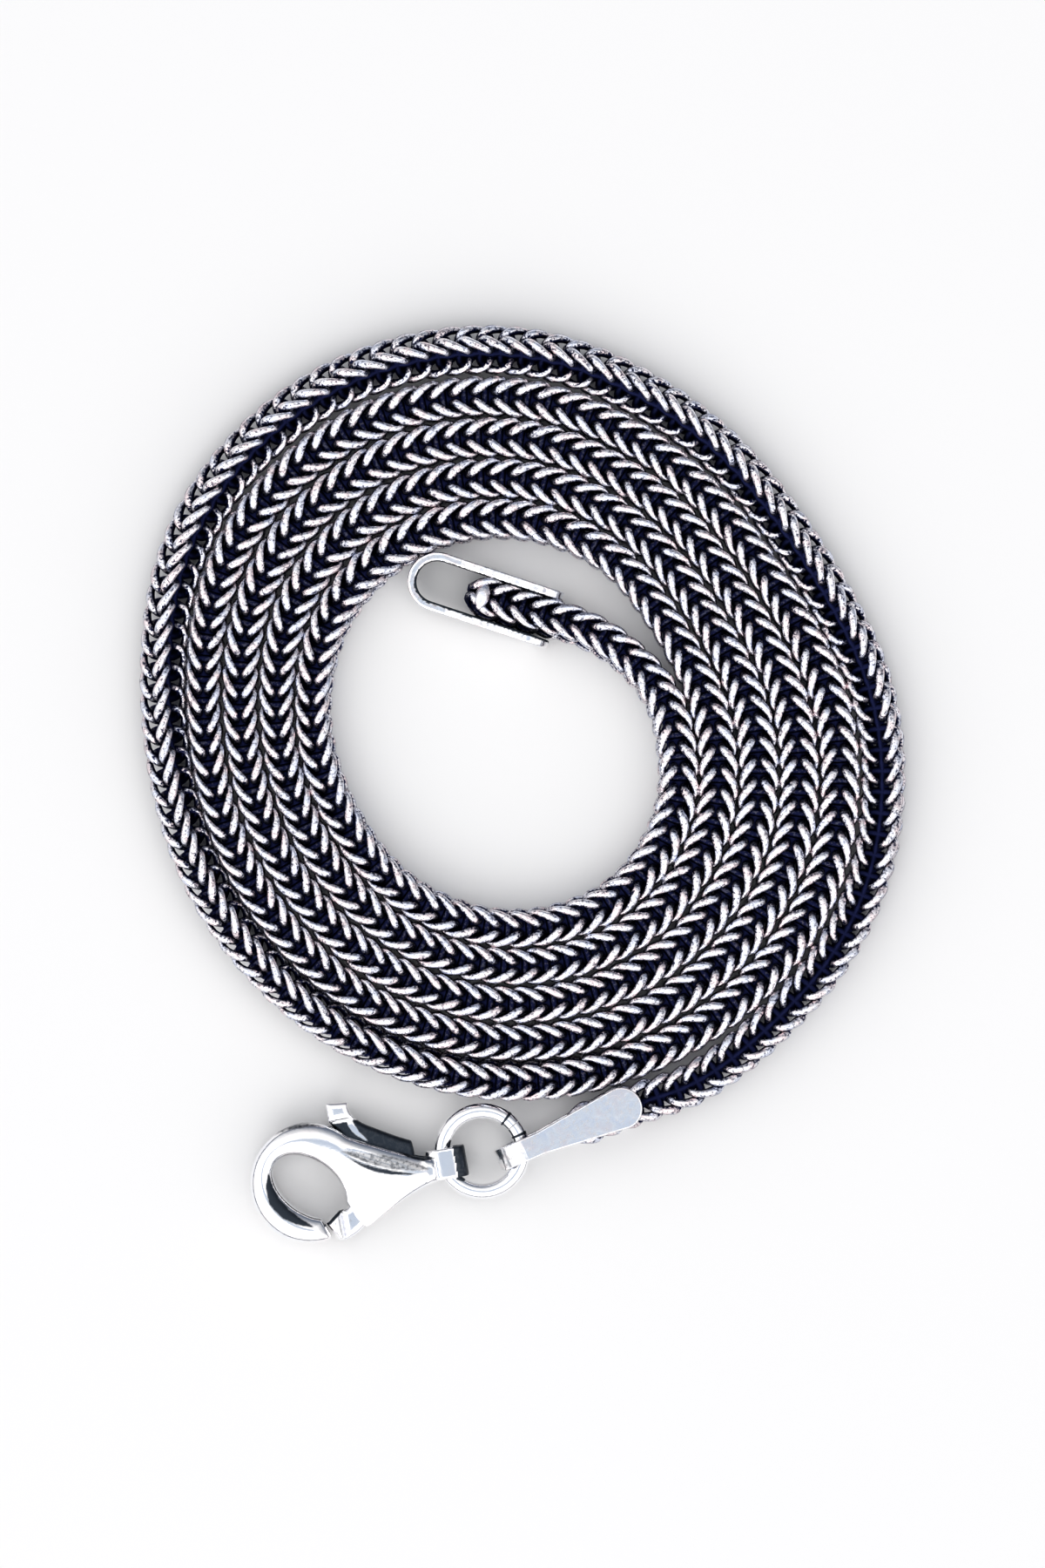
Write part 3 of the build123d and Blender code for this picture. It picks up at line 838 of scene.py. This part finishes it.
# The eye's end wall is painted dark as shade too, from this far along the clasp
EYE_WALL = 9.15 * MM
EYE_WALL_SHADE = 0.9
# The pin's ends are hidden under plugs of the same silver
PIN_PLACE = (5.9, 0.1)
PLUG_RADIUS = 0.42 * MM
PLUG_FOOT = 0.85 * MM
# How much of the cheeks' fall there is along the clasp, and where the doming ends before the eye
CHEEK_FADE = [(0.6, 0), (2.2, 1), (6.6, 1), (7.3, 0)]
EYE_FADE = (7.1 * MM, 7.4 * MM)
RELAX_ROUNDS = 4


def clasp_points(mesh):
    """The mesh's points in the clasp's own plan, their heights, and how flat the mesh is there."""
    points = read_points(mesh) - np.array(CLASP_PLACE)
    cos, sin = math.cos(CLASP_TURN), math.sin(CLASP_TURN)
    along = points[:, 0] * cos + points[:, 1] * sin
    across = points[:, 1] * cos - points[:, 0] * sin
    flatness = np.abs(read_points(mesh, "normal")[:, 2])
    return np.stack([along, across], axis=1), points[:, 2], flatness


def from_outline(plan, on_wall):
    """How far each point of a plan lies from the nearest point of its upright walls."""
    tree = KDTree(int(on_wall.sum()))
    for number, (x, y) in enumerate(plan[on_wall]):
        tree.insert((x, y, 0), number)
    tree.balance()
    return np.array([tree.find((x, y, 0))[2] for x, y in plan])


def left_dark(plan, marks):
    """How dark the marks leave each point of a plan. A mark thins out towards its ends."""
    dark = np.zeros(len(plan))
    for corners, half_width, soft_edge, darkness in marks:
        runs = len(corners) - 1
        for number, (start, end) in enumerate(zip(np.array(corners[:-1]), np.array(corners[1:]))):
            run = end - start
            from_start = plan / MM - start
            along = np.clip(from_start @ run / (run @ run), 0, 1)
            off_line = np.linalg.norm(from_start - along[:, None] * run, axis=1)
            width_left = 1 - (2 * (number + along) / runs - 1) ** 2
            reach = half_width * width_left + soft_edge * width_left ** 0.5
            inside = np.clip((reach - off_line) / soft_edge, 0, 1)
            dark = np.maximum(dark, darkness * inside)
    return dark


def raise_to(mesh, heights):
    """Sets the height of each point over the clasp's middle plane."""
    points = read_points(mesh)
    points[:, 2] = CLASP_PLACE.z + heights
    mesh.vertices.foreach_set("co", points.reshape(-1))
    mesh.update()


pin_middle = CLASP_PLACE + Matrix.Rotation(CLASP_TURN, 3, "Z") @ Vector((*PIN_PLACE, 0)) * MM
plug_length = CLASP_CREST - PLUG_FOOT
plug_lift = Vector((0, 0, (CLASP_CREST + PLUG_FOOT) / 2))
plugs = [(pin_middle + side * plug_lift, PLUG_RADIUS, plug_length) for side in (1, -1)]
casting = evenly_divided("clasp_body", CASTING_VOXEL, plugs)
plan, height, flatness = clasp_points(casting.data)
in_band = (np.abs(height) > WALL_BAND[0]) & (np.abs(height) < WALL_BAND[1])
on_wall = in_band & (flatness < WALL_SLOPE)
share = np.clip(from_outline(plan, on_wall) / DOME_REACH, 0, 1)
rounding = np.sqrt(1 - (1 - share) ** 2)
rim = np.array(CHEEK_RIM) * MM
below_rim = np.interp(plan[:, 0], rim[:, 0], rim[:, 1]) - plan[:, 1]
below_ridge = np.maximum(below_rim - RIDGE_INSET, 0)
fade = np.array(CHEEK_FADE)
fall = CHEEK_FALL * np.interp(plan[:, 0], fade[:, 0] * MM, fade[:, 1])
fall = fall * (np.sqrt(below_ridge ** 2 + RIDGE_SOFTNESS ** 2) - RIDGE_SOFTNESS)
fade = np.array(GROOVE_FADE)
across_groove = np.clip((below_rim - GROOVE_INSET) / GROOVE_HALF_WIDTH, -1, 1)
groove = GROOVE_DEPTH * np.interp(plan[:, 0], fade[:, 0] * MM, fade[:, 1])
fall = fall + groove * (0.5 + 0.5 * np.cos(np.pi * across_groove))
in_eye = np.clip((plan[:, 0] - EYE_FADE[0]) / (EYE_FADE[1] - EYE_FADE[0]), 0, 1)
upper = DOME_FOOT + (CLASP_CREST - fall - DOME_FOOT) * rounding
lower = DOME_FOOT + (CLASP_CREST - DOME_FOOT) * rounding
upper, lower = (side * (1 - in_eye) + CLASP_CREST * in_eye for side in (upper, lower))
raise_to(casting.data, np.clip(height, -lower, upper))
casting = relaxed(casting, RELAX_ROUNDS)

# Painted shade on the casting: its marks, the groove's band on the upper face, and the eye's end
# wall
dark = left_dark(plan, CASTING_SHADE_MARKS)
dark = np.maximum(dark, left_dark(plan, GROOVE_SHADE_MARKS) * (height > 0))
dark = np.maximum(dark, EYE_WALL_SHADE * (plan[:, 0] > EYE_WALL))
cast_silver, cast_skin = silver_material(
    "cast_silver", OXIDE_AND_SHADE, pit_size=0.25 * MM, pit_share=0.14, tint=0.08,
    wave_size=1.6 * MM, wave_depth=0.03 * MM, roughness=0.13,
)
polish_and_shade_by_marks(cast_silver, cast_skin)
mark_points(casting.data, "polish_and_shade", 1 - dark)
dress(casting.data, cast_silver)
casting.name = "clasp_casting"
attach(casting, "necklace")
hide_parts("clasp_body")


# Trigger. A smaller silver casting between the cheeks: its gate shuts the hook, its rounded spine
# shows beside them, and its thumb tab stands up at the far side. A hidden spring holds it shut.
TRIGGER_VOXEL = 0.065 * MM
# Its edges are rounded over this reach, down to these shares of its height on the lever and on the
# thumb tab
SPINE_REACH = 0.45 * MM
SPINE_FOOT_SHARE = 0.5
TAB_FOOT_SHARE = 0.82
# Painted shade keeps the lever dark beside the cheeks, but for the thin edge that sweeps down from
# the thumb tab
TAB_FOOT = 3.9 * MM
GATE_HEAD_TOP = 0.6 * MM
DARK_FADE = 0.2 * MM
SHADE_BRIGHTNESS = 0.09
SWEPT_EDGE = [([(2.9, 5.6), (3.05, 4.09), (3.24, 3.41), (3.48, 2.97), (4.1, 2.3)], 0.12, 0.07, 1)]
# Painted shade in dark lines along the gate's upper edge, at its nose and in its notch
GATE_SHADE_MARKS = [
    ([(0.3, -2.38), (0.88, -2.21), (1.63, -1.61), (1.98, -1.4)], 0.07, 0.1, 0.95),
    ([(0.16, -2.36), (0.4, -2.86), (0.46, -3.23)], 0.05, 0.1, 0.9),
    ([(1.85, -1.92), (2.34, -2.74)], 0.12, 0.2, 0.4),
]

lever = evenly_divided("clasp_trigger", TRIGGER_VOXEL)
plan, height, flatness = clasp_points(lever.data)
inside = from_outline(plan, flatness < WALL_SLOPE)
share = np.clip(inside / SPINE_REACH, 0, 1)
foot_share = np.where(plan[:, 1] > TAB_FOOT, TAB_FOOT_SHARE, SPINE_FOOT_SHARE)
rounding = foot_share + (1 - foot_share) * np.sqrt(1 - (1 - share) ** 2)
raise_to(lever.data, height * rounding)
# Painted shade on the lever, between the thumb tab's foot and the gate's head, and along the gate
in_shade = np.clip((TAB_FOOT - plan[:, 1]) / DARK_FADE, 0, 1)
in_shade = in_shade * np.clip((plan[:, 1] - GATE_HEAD_TOP) / DARK_FADE, 0, 1)
in_shade = np.maximum((1 - SHADE_BRIGHTNESS) * in_shade, left_dark(plan, GATE_SHADE_MARKS))
bright_share = 1 - in_shade * (1 - left_dark(plan, SWEPT_EDGE))
lever = relaxed(lever, RELAX_ROUNDS)
mark_points(lever.data, "polish_and_shade", bright_share)
dress(lever.data, cast_silver)
lever.name = "trigger_casting"
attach(lever, "trigger")
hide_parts("clasp_trigger")


# Pivot pin. Plain drawn silver wire through both cheeks and the trigger, which turns on it. It is
# held by the cheeks, and its ends are out of sight under the plugs.
pin_silver, _ = silver_material(
    "pin_silver", PIT_GREY, pit_size=0.20 * MM, pit_share=0.25, tint=0.06,
    wave_size=1.2 * MM, wave_depth=0.02 * MM, roughness=0.12,
)
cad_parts["pivot_pin"].data.materials.clear()
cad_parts["pivot_pin"].data.materials.append(pin_silver)
